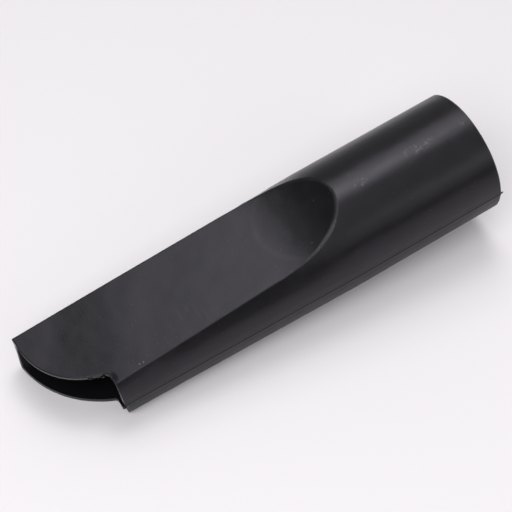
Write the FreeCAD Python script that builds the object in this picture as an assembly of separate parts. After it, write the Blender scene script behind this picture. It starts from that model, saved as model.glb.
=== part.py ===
import FreeCAD, Part
import math
import os

# Vacuum crevice tool, moulded in one piece. A plain round socket runs into a flat nozzle whose mouth is
# cut obliquely, so that one side wall ends short of the other. The two broad faces are scooped out of the
# round tube, and the two halves of the mould met in a fine ridge along both narrow sides.
#
# The body is drawn in the mould's frame: X runs along the tube from the mouth to the socket's end, which
# is at x = 0, and the mould halves part at z = 0. It is then laid down as it rests on a table.

# Socket
BORE_RADIUS = 16.0
BORE_DEPTH = 43.0
TUBE_RADIUS = 18.0
SOCKET_EDGE_BREAK = 0.4

# Narrow sides, seen from above
TAPER_START = 47.5
OUTER_TAPER = 0.0207
INNER_TAPER = 0.0170
RIDGE_ANGLE = 8.0

# Broad faces, seen from the side
FACE_HEIGHT = 9.12
FACE_STATION = 110.0
FACE_SLOPE = 0.0554
SCOOP_END = 67.0
SCOOP_RADIUS = 54.0
PLATE_WALL = 1.5
SIDE_ROUND = 0.4
RIM_ROUND = 2.2

# Mouth, seen from above
SHORT_WALL_LENGTH = 120.1
TOP_LIP_RADIUS = 19.4
TOP_LIP_CENTRE = (-117.35, 9.6)
TOP_NOTCH_ROUND = 2.5
LOWER_LIP_RADIUS = 29.5
LOWER_LIP_CENTRE = (-108.5, 17.9)
LOWER_NOTCH_ROUND = 1.0
LIP_EDGE_ROUND = 0.3

# End of the long wall: how far it is hollow between its two corners, and the curve it runs out in
LONG_WALL_HOLLOW = 0.8
LONG_WALL_FLARE = 26.0

# End of the short wall: below the parting line it stops sooner, from its outside to this far in
SHORT_WALL_STEP = 0.8
STEP_SIDE = 12.5

# Dent in the broad face at the root of the notch
DENT_PLACE = (-119.6, -11.9)
DENT_RADIUS = 1.9
DENT_DEPTH = 0.25

# Rest on a table: the tube lies on the rim of its lower scoop, and the nose drops on to its lower lip
PITCH = 6.54
ROLL = 2.01

# Reach of the drawn outlines past the finished body
OVERRUN = 6.0
BODY_LENGTH = 138.0

# Slack with which edges are picked by where they end
EDGE_SLACK = 0.1

STEP_FOLDER = "parts"


def vec(x, y, z):
    return FreeCAD.Vector(x, y, z)


def line(a, b):
    return Part.LineSegment(a, b).toShape()


def arc(a, middle, b):
    return Part.Arc(a, middle, b).toShape()


def outer_radius(station):
    """Radius of the outside at a distance from the socket's end."""
    return TUBE_RADIUS - OUTER_TAPER * max(0.0, station - TAPER_START)


def ridged_section(station):
    """Outline of the outside: a circle whose narrow sides are tangent flats that meet in a ridge."""
    radius = outer_radius(station)
    tangent = math.radians(RIDGE_ANGLE)
    ridge = radius / math.cos(tangent)
    side = radius * math.cos(tangent)
    rise = radius * math.sin(tangent)
    x = -station
    near_top, near_low = vec(x, -side, rise), vec(x, -side, -rise)
    far_top, far_low = vec(x, side, rise), vec(x, side, -rise)
    near_ridge, far_ridge = vec(x, -ridge, 0), vec(x, ridge, 0)
    return Part.Wire([
        arc(far_top, vec(x, 0, radius), near_top),
        line(near_top, near_ridge),
        line(near_ridge, near_low),
        arc(near_low, vec(x, 0, -radius), far_low),
        line(far_low, far_ridge),
        line(far_ridge, far_top),
    ])


def ridged_tube():
    """Round, straight at the socket and then tapering towards the mouth."""
    joint = ridged_section(TAPER_START)
    socket = Part.Face(joint).extrude(vec(TAPER_START + OVERRUN, 0, 0))
    nozzle = Part.makeLoft([joint, ridged_section(BODY_LENGTH + OVERRUN)], True, True)
    return socket.fuse(nozzle)


def round_core():
    """Straight bore of the socket, as far as the scoops leave it round, and the tapering hollow behind it."""
    axis = vec(-1, 0, 0)
    bore = Part.makeCylinder(BORE_RADIUS, BORE_DEPTH + OVERRUN, vec(OVERRUN, 0, 0), axis)
    length = BODY_LENGTH + OVERRUN - BORE_DEPTH
    end_radius = BORE_RADIUS - INNER_TAPER * length
    cone = Part.makeCone(BORE_RADIUS, end_radius, length, vec(-BORE_DEPTH, 0, 0), axis)
    return bore.fuse(cone).removeSplitter()


def scooped_slab(inset, socket_face):
    """The side view, drawn inset from the broad faces and extruded across the whole width."""
    slope = math.atan(FACE_SLOPE)
    along = vec(math.cos(slope), 0, math.sin(slope))
    normal = vec(-math.sin(slope), 0, math.cos(slope))
    height_at_scoop = FACE_HEIGHT + FACE_SLOPE * (FACE_STATION - SCOOP_END)
    surface = vec(-SCOOP_END, 0, height_at_scoop)
    centre = surface + normal * SCOOP_RADIUS
    radius = SCOOP_RADIUS + inset

    def on_scoop(angle):
        return centre - normal * (radius * math.cos(angle)) + along * (radius * math.sin(angle))

    brim = TUBE_RADIUS + OVERRUN
    sweep = math.acos((centre.z - brim) / radius) - slope
    foot, middle, top = on_scoop(0.0), on_scoop(0.5 * sweep), on_scoop(sweep)
    nose = foot - along * (BODY_LENGTH + OVERRUN - SCOOP_END)

    def below(point):
        return vec(point.x, 0, -point.z)

    corner = vec(socket_face, 0, brim)
    outline = Part.Wire([
        line(corner, top),
        arc(top, middle, foot),
        line(foot, nose),
        line(nose, below(nose)),
        line(below(nose), below(foot)),
        arc(below(foot), below(middle), below(top)),
        line(below(top), below(corner)),
        line(below(corner), corner),
    ])
    half_width = TUBE_RADIUS + OVERRUN
    outline.translate(vec(0, -half_width, 0))
    return Part.Face(outline).extrude(vec(0, 2 * half_width, 0))


def rounded_rims(body):
    """Soft edge round each scoop, that fades down it into a fine edge along both sides of each broad face."""
    ridge_band = 2.0 * TUBE_RADIUS * math.sin(math.radians(RIDGE_ANGLE))
    rims = []
    for number, edge in enumerate(body.Edges, 1):
        box = edge.BoundBox
        clear_of_ridge = box.ZMin > ridge_band or box.ZMax < -ridge_band
        if clear_of_ridge and box.XLength > RIM_ROUND:
            beside_face = box.XMax < EDGE_SLACK - SCOOP_END
            rims.append((SIDE_ROUND if beside_face else RIM_ROUND, number))
    # Where two edges meet, the radius of the one given last holds
    rims.sort(reverse=True)
    sheet = FreeCAD.newDocument("rims")
    blank = sheet.addObject("Part::Feature", "blank")
    blank.Shape = body
    rounded = sheet.addObject("Part::Fillet", "rounded")
    rounded.Base = blank
    rounded.Edges = [(number, radius, radius) for radius, number in rims]
    sheet.recompute()
    result = rounded.Shape.copy()
    FreeCAD.closeDocument(sheet.Name)
    return result


def lip_outline(centre, radius, notch_round, height):
    """Plan of what the mouth cuts away: round the lip, into the notch and square across the short wall."""
    middle = vec(centre[0], centre[1], height)
    far = TUBE_RADIUS + OVERRUN
    beyond = -(BODY_LENGTH + OVERRUN)
    square = -SHORT_WALL_LENGTH
    notch_x = square - notch_round
    notch_y = middle.y - math.sqrt((radius + notch_round) ** 2 - (notch_x - middle.x) ** 2)
    notch = vec(notch_x, notch_y, height)
    outward = (notch - middle).normalize()
    tip = middle - vec(radius, 0, 0)
    root = middle + outward * radius
    half_way = middle + ((tip - middle).normalize() + outward).normalize() * radius
    end = vec(square, notch_y, height)
    in_notch = notch + ((root - notch).normalize() + vec(1, 0, 0)).normalize() * notch_round
    flare = tip - vec(LONG_WALL_FLARE, 0, 0)
    turn = math.asin((far - tip.y) / LONG_WALL_FLARE)

    def on_flare(angle):
        return flare + vec(math.cos(angle), math.sin(angle), 0) * LONG_WALL_FLARE

    return Part.Wire([
        arc(tip, half_way, root),
        arc(root, in_notch, end),
        line(end, vec(square, -far, height)),
        line(vec(square, -far, height), vec(beyond, -far, height)),
        line(vec(beyond, -far, height), vec(beyond, far, height)),
        line(vec(beyond, far, height), on_flare(turn)),
        arc(on_flare(turn), on_flare(0.5 * turn), tip),
    ])


def mouth_cutter():
    """Smooth from the plan of the top lip to the plan of the lower lip, and set back half-way down."""
    middle_radius = 0.5 * (TOP_LIP_RADIUS + LOWER_LIP_RADIUS)
    middle_centre = (
        0.5 * (TOP_LIP_CENTRE[0] + LOWER_LIP_CENTRE[0]) + LONG_WALL_HOLLOW,
        0.5 * (TOP_LIP_CENTRE[1] + LOWER_LIP_CENTRE[1]),
    )
    middle_notch = 0.5 * (TOP_NOTCH_ROUND + LOWER_NOTCH_ROUND)
    return Part.makeLoft([
        lip_outline(TOP_LIP_CENTRE, TOP_LIP_RADIUS, TOP_NOTCH_ROUND, FACE_HEIGHT),
        lip_outline(middle_centre, middle_radius, middle_notch, 0.0),
        lip_outline(LOWER_LIP_CENTRE, LOWER_LIP_RADIUS, LOWER_NOTCH_ROUND, -FACE_HEIGHT),
    ], True, False)


def rounded_lips(body, hollow):
    """Soft outer edge all round the mouth, told from its inner edge by the distance to the hollow."""
    lips = []
    for edge in body.Edges:
        middle = edge.valueAt(0.5 * (edge.FirstParameter + edge.LastParameter))
        if edge.BoundBox.XMax < EDGE_SLACK - SHORT_WALL_LENGTH:
            if hollow.distToShape(Part.Vertex(middle))[0] > 0.75 * PLATE_WALL:
                lips.append(edge)
    return body.makeFillet(LIP_EDGE_ROUND, lips)


def short_wall_step():
    """What the lower half of the mould left out at the end of the short wall."""
    far = TUBE_RADIUS + OVERRUN
    corner = vec(-SHORT_WALL_LENGTH - OVERRUN, -far, -far)
    return Part.makeBox(OVERRUN + SHORT_WALL_STEP, far - STEP_SIDE, far, corner)


def notch_dent():
    x, y = DENT_PLACE
    face = FACE_HEIGHT + FACE_SLOPE * (FACE_STATION + x)
    return Part.makeSphere(DENT_RADIUS, vec(x, y, face + DENT_RADIUS - DENT_DEPTH))


def broken_socket_edges(body):
    """Broken edge inside and outside the open end of the socket."""
    rim = [edge for edge in body.Edges if edge.BoundBox.XMin > -EDGE_SLACK]
    return body.makeChamfer(SOCKET_EDGE_BREAK, rim)


def crevice_tool():
    outside = rounded_rims(ridged_tube().common(scooped_slab(0.0, 0.0)))
    hollow = round_core().common(scooped_slab(PLATE_WALL, OVERRUN))
    body = outside.cut(hollow).cut(mouth_cutter())
    lipped = rounded_lips(body, hollow).cut(short_wall_step()).cut(notch_dent())
    return broken_socket_edges(lipped).Solids[0]


def laid_down(body):
    """Turned to its rest on a table, with the origin under the middle of its box."""
    body.rotate(vec(0, 0, 0), vec(1, 0, 0), ROLL)
    body.rotate(vec(0, 0, 0), vec(0, 1, 0), -PITCH)
    box = body.optimalBoundingBox(False, False)
    body.translate(vec(-box.Center.x, -box.Center.y, -box.ZMin))
    return body


if __name__ == "__main__":
    os.makedirs(STEP_FOLDER, exist_ok=True)
    laid_down(crevice_tool()).exportStep(os.path.join(STEP_FOLDER, "crevice_tool.step"))
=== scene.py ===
import math

import bmesh
import bpy
from mathutils import Euler, Matrix, Vector, noise


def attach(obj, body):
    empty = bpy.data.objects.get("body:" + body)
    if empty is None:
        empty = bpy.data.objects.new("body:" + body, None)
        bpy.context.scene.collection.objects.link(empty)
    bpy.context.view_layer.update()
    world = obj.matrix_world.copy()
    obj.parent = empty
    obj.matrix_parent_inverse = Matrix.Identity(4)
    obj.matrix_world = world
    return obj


# Looks of a moulded crevice tool that lies on a pale table. Lengths are in metres.

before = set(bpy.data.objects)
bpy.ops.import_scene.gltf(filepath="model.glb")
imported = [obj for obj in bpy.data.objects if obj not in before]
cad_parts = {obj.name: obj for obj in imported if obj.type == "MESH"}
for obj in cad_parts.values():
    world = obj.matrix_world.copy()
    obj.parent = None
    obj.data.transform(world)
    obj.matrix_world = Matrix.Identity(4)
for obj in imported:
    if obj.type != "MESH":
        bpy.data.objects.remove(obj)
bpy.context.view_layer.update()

# Camera, from the photograph's outline
CAMERA_PLACE = Vector((-0.13373, -0.23127, 0.36535))
CAMERA_AZIMUTH = math.radians(29.74)
CAMERA_ELEVATION = math.radians(52.29)
CAMERA_ROLL = math.radians(-1.57)
IMAGE_SIZE = 512
FOCAL_PIXELS = 1600
SENSOR_MM = 36.0

# Table, room and card
TABLE_COLOUR = (0.82, 0.79, 0.82, 1.0)
TABLE_SIZE = 6.0
STAGE_ROUGHNESS = 0.6
ROOM_COLOUR = (1.0, 1.0, 1.0, 1.0)
ROOM_LIGHT_SIDE = (0.6, 0.8, 0.0)
ROOM_DIM = 0.06
ROOM_LIGHT = 0.44
CARD_COLOUR = (0.32, 0.31, 0.32, 1.0)
CARD_PLACE = (-0.20, -0.092)
CARD_SIZE = (0.46, 0.027)

# Lamps: the name, azimuth and elevation in degrees, distance, size and share of a full light
LAMPS = (
    ("overhead", 67.8, 70.7, 1.1, (0.72, 0.78), 0.252),
    ("lamp", 54.0, 73.5, 1.0, (0.26, 0.26), 0.062),
    ("ceiling", -80.0, 62.0, 1.2, (1.0, 0.8), 0.075),
    ("left", -140.0, 55.0, 1.3, (0.9, 0.9), 0.41),
    ("side", 175.0, 24.0, 0.7, (0.22, 0.3), 0.03),
    ("front", -70.0, 27.0, 0.8, (0.8, 0.38), 0.042),
    ("near", -58.0, 33.6, 0.38, (0.12, 0.1), 0.010),
)

# The mould's frame, as the tool lies: the middle of the socket's end, and its turn
SOCKET_PLACE = (0.067419, 0.0, 0.022867)
LYING = (math.radians(2.01), math.radians(-6.54), 0.0)

# Plastic. A noise is its scale and its detail.
PLASTIC_DARK = (0.0034, 0.0032, 0.0038, 1.0)
PLASTIC_LIGHT = (0.0058, 0.0054, 0.0062, 1.0)
# Lighter plastic for the scratches, and for the painted highlight along the scoop's foot
PLASTIC_WEAR_AND_HIGHLIGHT = (0.017, 0.016, 0.0175, 1.0)
PLASTIC_SCUFFED = (0.055, 0.052, 0.056, 1.0)
ROUGHNESS = 0.31
ROUGHNESS_RANGE = 0.08
SHINE = 0.36
SHINE_TINT = (0.92, 0.88, 1.0, 1.0)
GRAIN_NOISE = (1700.0, 2.0)
GRAIN_HEIGHT = 0.000018
MOTTLE_NOISE = (230.0, 3.0)
MOTTLE_HEIGHT = 0.000020
WAVE_NOISE = (65.0, 2.0)
WAVE_HEIGHT = 0.00032

# Duller flanks below the parting line, and the parting line itself
LOWER_ROUGHNESS = 0.20
LOWER_FADE = (-0.0006, 0.0)
FLANK_FADE = (0.0118, 0.0130)
SEAM_HEIGHT = 0.0001
SEAM_FADE = (0.0001, 0.0004)
SEAM_ROUGHNESS = 0.45

# Warp of the thin end, from the mould's frame. A span is measured past the crease.
NOTCH_ROOT = Vector((-0.1195, -0.0120, 0.0))
CREASE_NORMAL = Vector((-0.854, 0.520, 0.0))
TONGUE_SWELL = 0.000054
TONGUE_SWELL_SPAN = (-0.012, -0.003)
TONGUE_SINK = 0.00038
TONGUE_SINK_SPAN = (-0.004, 0.018)
TONGUE_TURN_UP = 0.00046
TONGUE_TURN_UP_SPAN = (0.015, 0.036)

# Marks, from the mould's frame
PATCH_FADE = (0.3, 1.0)
# The lighter ring along the scoop's foot is a painted highlight: its centre, radius, fade and end
FOOT_CENTRE = (-0.0526, 0.0003, 0.0)
FOOT_RADIUS = 0.0142
FOOT_FADE = (0.0, 0.0014)
FOOT_END = (-0.062, -0.057)
SMEAR_PLACE = (-0.1193, -0.0121, 0.0085)
SMEAR_SIZE = (0.0011, 0.0024, 0.0020)
SMEAR_ROUGHNESS = 0.60
SCUFFS = (
    ((-0.0172, -0.0022, 0.0179), (0.0058, 0.0021, 0.0030)),
    ((-0.0362, -0.0031, 0.0177), (0.0034, 0.0017, 0.0030)),
    ((-0.0024, -0.0022, 0.0179), (0.0016, 0.0012, 0.0030)),
)
SCUFF_NOISE = (700.0, 2.0)
SCUFF_LEVELS = (0.48, 0.66)
SCRATCH_PLACE = (-0.0940, -0.0085, 0.0100)
SCRATCH_SIZE = (0.0080, 0.0065, 0.0030)
SCRATCH_STRETCH = (1.0, 0.16, 1.0)
SCRATCH_NOISE = (900.0, 2.0)
SCRATCH_LEVELS = (0.52, 0.70)
SCRATCH_SHARE = 0.6

# Dust: single specks with the share of each, and fine dust, one speck to a cell
DUST_COLOUR = (0.45, 0.44, 0.46, 1.0)
DUST_SPECKS = (
    ((-0.11203, -0.01273, 0.00901), 0.36),
    ((-0.11090, -0.01282, 0.00908), 0.36),
    ((-0.04919, 0.00062, 0.01559), 0.08),
    ((-0.05609, -0.00918, 0.01324), 0.15),
)
SPECK_FADE = (0.00006, 0.00024)
FINE_DUST_SCALE = 800.0
FINE_DUST_FADE = (0.05, 0.14)
FINE_DUST_SHARE = 0.09
DUSTY_PLACE = (-0.1080, -0.0060, 0.0092)
DUSTY_FADE = (0.004, 0.018)
EMPTY_CELLS_THERE = 0.60
EMPTY_CELLS_ELSEWHERE = 0.88

# Burrs: the place, the half-sizes and the turn in degrees, from the mould's frame
FLASH = (
    ((-0.1247, -0.0081, 0.0070), (0.0007, 0.00022, 0.00020), -25.0),
    ((-0.1226, -0.0088, 0.0069), (0.0006, 0.00025, 0.00022), -20.0),
    ((-0.1216, -0.0094, 0.0067), (0.0005, 0.00030, 0.00028), -35.0),
    ((0.00005, -0.01800, 0.00025), (0.0004, 0.00012, 0.00040), 0.0),
)
FLASH_FINENESS = 3
FLASH_LUMPS = 0.35
FLASH_LUMP_SCALE = 1.7
FLASH_LUMP_SHIFT = 1000.0


def place_camera():
    """The photograph's pinhole: the place it was taken from, the way it looked and its field of view."""
    data = bpy.data.cameras.new("camera")
    data.sensor_width = SENSOR_MM
    data.lens = SENSOR_MM * FOCAL_PIXELS / IMAGE_SIZE
    camera = bpy.data.objects.new("camera", data)
    bpy.context.scene.collection.objects.link(camera)
    turn = (
        Matrix.Rotation(-CAMERA_AZIMUTH, 4, "Z")
        @ Matrix.Rotation(math.pi / 2 - CAMERA_ELEVATION, 4, "X")
        @ Matrix.Rotation(CAMERA_ROLL, 4, "Z")
    )
    camera.matrix_world = Matrix.Translation(CAMERA_PLACE) @ turn
    bpy.context.scene.camera = camera


def make_plane(name, size, colour):
    """Square of plain colour that belongs to the stage."""
    bpy.ops.mesh.primitive_plane_add(size=size)
    plane = bpy.context.object
    plane.name = name
    material = bpy.data.materials.new(name)
    material.use_nodes = True
    shader = material.node_tree.nodes["Principled BSDF"]
    shader.inputs["Base Color"].default_value = colour
    shader.inputs["Roughness"].default_value = STAGE_ROUGHNESS
    plane.data.materials.append(material)
    return plane


def stand_card():
    """Grey card on edge in front of the nozzle, so that its near wall doesn't mirror the far table.

    Only reflections see it.
    """
    card = make_plane("card", 1.0, CARD_COLOUR)
    length, height = CARD_SIZE
    upright = Euler((math.pi / 2, 0.0, 0.0))
    middle = Vector((*CARD_PLACE, 0.5 * height))
    card.matrix_world = Matrix.LocRotScale(middle, upright, Vector((length, height, 1.0)))
    card.visible_camera = False
    card.visible_diffuse = False
    card.visible_shadow = False


def add_softbox(name, azimuth, elevation, distance, size, share):
    """Rectangle turned to the object, its first size along the tool.

    A share of 1 would light a white table to full white by itself.
    """
    heading = math.radians(azimuth)
    height = math.radians(elevation)
    outward = Vector((
        math.cos(height) * math.cos(heading),
        math.cos(height) * math.sin(heading),
        math.sin(height),
    ))
    along = (Vector((1.0, 0.0, 0.0)) - outward * outward.x).normalized()
    across = outward.cross(along)
    data = bpy.data.lights.new(name, "AREA")
    data.shape = "RECTANGLE"
    data.size, data.size_y = size
    data.energy = share * 4.0 * math.pi * distance ** 2 / outward.z
    light = bpy.data.objects.new(name, data)
    bpy.context.scene.collection.objects.link(light)
    turn = Matrix((along, across, outward)).transposed().to_4x4()
    light.matrix_world = Matrix.Translation(outward * distance) @ turn


def light_the_room():
    """Dim room around the table, lightest behind it and to its right."""
    world = bpy.data.worlds.new("room")
    bpy.context.scene.world = world
    world.use_nodes = True
    nodes = world.node_tree.nodes
    links = world.node_tree.links
    way = nodes.new("ShaderNodeTexCoord")
    facing = nodes.new("ShaderNodeVectorMath")
    facing.operation = "DOT_PRODUCT"
    facing.inputs[1].default_value = ROOM_LIGHT_SIDE
    level = nodes.new("ShaderNodeMapRange")
    level.inputs["From Min"].default_value = 0.0
    level.inputs["From Max"].default_value = 1.0
    level.inputs["To Min"].default_value = ROOM_DIM
    level.inputs["To Max"].default_value = ROOM_LIGHT
    links.new(way.outputs["Generated"], facing.inputs[0])
    links.new(facing.outputs["Value"], level.inputs["Value"])
    nodes["Background"].inputs["Color"].default_value = ROOM_COLOUR
    links.new(level.outputs["Result"], nodes["Background"].inputs["Strength"])


def maths(tree, operation, *terms):
    """Output of a math node whose terms are outputs of other nodes or plain numbers."""
    node = tree.nodes.new("ShaderNodeMath")
    node.operation = operation
    for socket, term in zip(node.inputs, terms):
        if isinstance(term, bpy.types.NodeSocket):
            tree.links.new(term, socket)
        else:
            socket.default_value = term
    return node.outputs["Value"]


def away_from(tree, place, point):
    """Distance of a place from a point."""
    node = tree.nodes.new("ShaderNodeVectorMath")
    node.operation = "DISTANCE"
    tree.links.new(place, node.inputs[0])
    node.inputs[1].default_value = point
    return node.outputs["Value"]


def along_axes(tree, place):
    """The X, Y and Z outputs of a place."""
    node = tree.nodes.new("ShaderNodeSeparateXYZ")
    tree.links.new(place, node.inputs["Vector"])
    return node.outputs


def soft_step(tree, value, span, low, high):
    """From low to high, smoothly, as the value goes through the span."""
    node = tree.nodes.new("ShaderNodeMapRange")
    node.interpolation_type = "SMOOTHSTEP"
    tree.links.new(value, node.inputs["Value"])
    start, end = span
    node.inputs["From Min"].default_value = start
    node.inputs["From Max"].default_value = end
    node.inputs["To Min"].default_value = low
    node.inputs["To Max"].default_value = high
    return node.outputs["Result"]


def speckle(tree, place, scale, detail):
    """Noise between 0 and 1."""
    node = tree.nodes.new("ShaderNodeTexNoise")
    tree.links.new(place, node.inputs["Vector"])
    node.inputs["Scale"].default_value = scale
    node.inputs["Detail"].default_value = detail
    return node.outputs["Fac"]


def tinted(tree, share, under, over):
    """Colour that goes from one to the other; the first may be another node's output."""
    node = tree.nodes.new("ShaderNodeMix")
    node.data_type = "RGBA"
    tree.links.new(share, node.inputs["Factor"])
    if isinstance(under, bpy.types.NodeSocket):
        tree.links.new(under, node.inputs["A"])
    else:
        node.inputs["A"].default_value = under
    node.inputs["B"].default_value = over
    return node.outputs["Result"]


def patch(tree, place, centre, size):
    """Share of a soft oval patch."""
    stretch = tree.nodes.new("ShaderNodeMapping")
    stretch.vector_type = "TEXTURE"
    tree.links.new(place, stretch.inputs["Vector"])
    stretch.inputs["Location"].default_value = centre
    stretch.inputs["Scale"].default_value = size
    from_centre = away_from(tree, stretch.outputs["Vector"], (0.0, 0.0, 0.0))
    return soft_step(tree, from_centre, PATCH_FADE, 1.0, 0.0)


def past_crease(tree, place):
    """Distance past the soft crease that runs across the broad face from the root of the notch."""
    node = tree.nodes.new("ShaderNodeVectorMath")
    node.operation = "DOT_PRODUCT"
    tree.links.new(place, node.inputs[0])
    node.inputs[1].default_value = CREASE_NORMAL
    return maths(tree, "SUBTRACT", node.outputs["Value"], CREASE_NORMAL.dot(NOTCH_ROOT))


def tongue_height(tree, place):
    """The broad face swells a little before the crease, sinks past it and turns up again at its tip."""
    past = past_crease(tree, place)
    swell = soft_step(tree, past, TONGUE_SWELL_SPAN, 0.0, TONGUE_SWELL)
    sink = soft_step(tree, past, TONGUE_SINK_SPAN, 0.0, -TONGUE_SINK)
    turned_up = soft_step(tree, past, TONGUE_TURN_UP_SPAN, 0.0, TONGUE_TURN_UP)
    return maths(tree, "ADD", maths(tree, "ADD", swell, sink), turned_up)


def scoop_foot_highlight(tree, place):
    """Share of the lighter ring along the round foot of the scoop, seen from above: a painted highlight
    where a faint ridge there would catch the light.
    """
    flat = tree.nodes.new("ShaderNodeVectorMath")
    flat.operation = "MULTIPLY"
    tree.links.new(place, flat.inputs[0])
    flat.inputs[1].default_value = (1.0, 1.0, 0.0)
    ring = maths(tree, "SUBTRACT", away_from(tree, flat.outputs["Vector"], FOOT_CENTRE), FOOT_RADIUS)
    on_ring = soft_step(tree, maths(tree, "ABSOLUTE", ring), FOOT_FADE, 1.0, 0.0)
    before_end = soft_step(tree, along_axes(tree, place)["X"], FOOT_END, 1.0, 0.0)
    return maths(tree, "MULTIPLY", on_ring, before_end)


def scratches(tree, place):
    """Share of the fine scratches that run across the broad face, near its edge."""
    stretch = tree.nodes.new("ShaderNodeMapping")
    tree.links.new(place, stretch.inputs["Vector"])
    stretch.inputs["Scale"].default_value = SCRATCH_STRETCH
    streaks = speckle(tree, stretch.outputs["Vector"], *SCRATCH_NOISE)
    lines = soft_step(tree, streaks, SCRATCH_LEVELS, 0.0, SCRATCH_SHARE)
    return maths(tree, "MULTIPLY", lines, patch(tree, place, SCRATCH_PLACE, SCRATCH_SIZE))


def scuffs(tree, place):
    """Share of the light flecks that are scuffed into the top of the tube."""
    scuffed = 0.0
    for centre, size in SCUFFS:
        scuffed = maths(tree, "MAXIMUM", patch(tree, place, centre, size), scuffed)
    flecks = soft_step(tree, speckle(tree, place, *SCUFF_NOISE), SCUFF_LEVELS, 0.0, 1.0)
    return maths(tree, "MULTIPLY", flecks, scuffed)


def dust(tree, place):
    """Share of dust: a few bright specks, and finer ones that are thickest near the short wall."""
    cells = tree.nodes.new("ShaderNodeTexVoronoi")
    tree.links.new(place, cells.inputs["Vector"])
    cells.inputs["Scale"].default_value = FINE_DUST_SCALE
    chance = tree.nodes.new("ShaderNodeSeparateColor")
    tree.links.new(cells.outputs["Color"], chance.inputs["Color"])
    from_dusty = away_from(tree, place, DUSTY_PLACE)
    empty = soft_step(tree, from_dusty, DUSTY_FADE, EMPTY_CELLS_THERE, EMPTY_CELLS_ELSEWHERE)
    kept = maths(tree, "GREATER_THAN", chance.outputs["Red"], empty)
    fine = soft_step(tree, cells.outputs["Distance"], FINE_DUST_FADE, FINE_DUST_SHARE, 0.0)
    share = maths(tree, "MULTIPLY", fine, kept)
    for point, most in DUST_SPECKS:
        speck = soft_step(tree, away_from(tree, place, point), SPECK_FADE, most, 0.0)
        share = maths(tree, "MAXIMUM", share, speck)
    return share


def plastic_colour(tree, place, mottle):
    """Near black, a little mottled, with a painted highlight along the scoop's foot and the scratched,
    scuffed and dusty places on it.
    """
    colour = tinted(tree, mottle, PLASTIC_DARK, PLASTIC_LIGHT)
    # Painted highlight: a lighter ring along the scoop's foot
    foot_highlight = maths(tree, "MULTIPLY", scoop_foot_highlight(tree, place), mottle)
    colour = tinted(tree, foot_highlight, colour, PLASTIC_WEAR_AND_HIGHLIGHT)
    colour = tinted(tree, scratches(tree, place), colour, PLASTIC_WEAR_AND_HIGHLIGHT)
    colour = tinted(tree, scuffs(tree, place), colour, PLASTIC_SCUFFED)
    return tinted(tree, dust(tree, place), colour, DUST_COLOUR)


def plastic_roughness(tree, place, mottle):
    """Satin, and duller on the flanks below the parting line, along that line and beside the notch."""
    axes = along_axes(tree, place)
    rough = maths(tree, "MULTIPLY_ADD", mottle, ROUGHNESS_RANGE, ROUGHNESS - 0.5 * ROUGHNESS_RANGE)
    lower = soft_step(tree, axes["Z"], LOWER_FADE, LOWER_ROUGHNESS, 0.0)
    flank = soft_step(tree, maths(tree, "ABSOLUTE", axes["Y"]), FLANK_FADE, 0.0, 1.0)
    rough = maths(tree, "MULTIPLY_ADD", lower, flank, rough)
    rough = maths(tree, "MULTIPLY_ADD", patch(tree, place, SMEAR_PLACE, SMEAR_SIZE), SMEAR_ROUGHNESS, rough)
    off_seam = maths(tree, "ABSOLUTE", maths(tree, "SUBTRACT", axes["Z"], SEAM_HEIGHT))
    seam = soft_step(tree, off_seam, SEAM_FADE, 1.0, 0.0)
    return maths(tree, "MULTIPLY_ADD", seam, SEAM_ROUGHNESS, rough)


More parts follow.
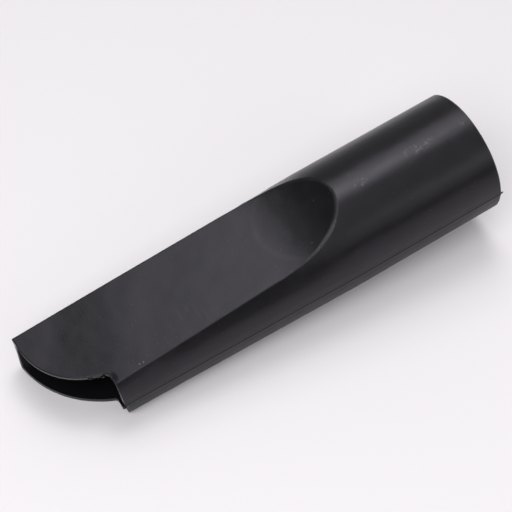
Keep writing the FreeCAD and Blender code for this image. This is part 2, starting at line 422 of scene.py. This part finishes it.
def black_plastic():
    """Black polypropylene, satin from the mould: grain, mottling, waves and the warp of its thin end."""
    material = bpy.data.materials.new("black_plastic")
    material.use_nodes = True
    tree = material.node_tree
    shader = tree.nodes["Principled BSDF"]
    table_place = tree.nodes.new("ShaderNodeTexCoord")
    mould_place = tree.nodes.new("ShaderNodeMapping")
    mould_place.vector_type = "TEXTURE"
    mould_place.inputs["Location"].default_value = SOCKET_PLACE
    mould_place.inputs["Rotation"].default_value = LYING
    tree.links.new(table_place.outputs["Object"], mould_place.inputs["Vector"])
    place = mould_place.outputs["Vector"]

    grain = speckle(tree, place, *GRAIN_NOISE)
    mottle = speckle(tree, place, *MOTTLE_NOISE)
    waves = speckle(tree, place, *WAVE_NOISE)
    tree.links.new(plastic_colour(tree, place, mottle), shader.inputs["Base Color"])
    tree.links.new(plastic_roughness(tree, place, mottle), shader.inputs["Roughness"])
    shader.inputs["Specular IOR Level"].default_value = SHINE
    shader.inputs["Specular Tint"].default_value = SHINE_TINT

    height = maths(tree, "MULTIPLY_ADD", grain, GRAIN_HEIGHT, tongue_height(tree, place))
    height = maths(tree, "MULTIPLY_ADD", mottle, MOTTLE_HEIGHT, height)
    height = maths(tree, "MULTIPLY_ADD", waves, WAVE_HEIGHT, height)
    bump = tree.nodes.new("ShaderNodeBump")
    bump.inputs["Distance"].default_value = 1.0
    tree.links.new(height, bump.inputs["Height"])
    tree.links.new(bump.outputs["Normal"], shader.inputs["Normal"])
    return material


def moulding_flash(material):
    """Burrs of the mould: under the top lip by the notch, and at the socket's end of the parting line."""
    shape = bmesh.new()
    to_table = Matrix.LocRotScale(Vector(SOCKET_PLACE), Euler(LYING), None)
    for place, size, turn in FLASH:
        burr = bmesh.ops.create_icosphere(shape, subdivisions=FLASH_FINENESS, radius=1.0)["verts"]
        turned = Euler((0.0, 0.0, math.radians(turn)))
        in_mould = Matrix.LocRotScale(Vector(place), turned, Vector(size))
        for vertex in burr:
            spot = vertex.co * FLASH_LUMP_SCALE + Vector(place) * FLASH_LUMP_SHIFT
            lump = 1.0 + FLASH_LUMPS * noise.noise(spot)
            vertex.co = to_table @ in_mould @ (vertex.co * lump)
    for face in shape.faces:
        face.smooth = True
    mesh = bpy.data.meshes.new("moulding_flash")
    shape.to_mesh(mesh)
    shape.free()
    mesh.materials.append(material)
    flash = bpy.data.objects.new("moulding_flash", mesh)
    bpy.context.scene.collection.objects.link(flash)
    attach(flash, "root")


place_camera()
make_plane("table", TABLE_SIZE, TABLE_COLOUR)
stand_card()
light_the_room()
for lamp in LAMPS:
    add_softbox(*lamp)
plastic = black_plastic()
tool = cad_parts["crevice_tool"]
tool.data.materials.clear()
tool.data.materials.append(plastic)
moulding_flash(plastic)

bpy.context.scene.view_settings.view_transform = "Standard"
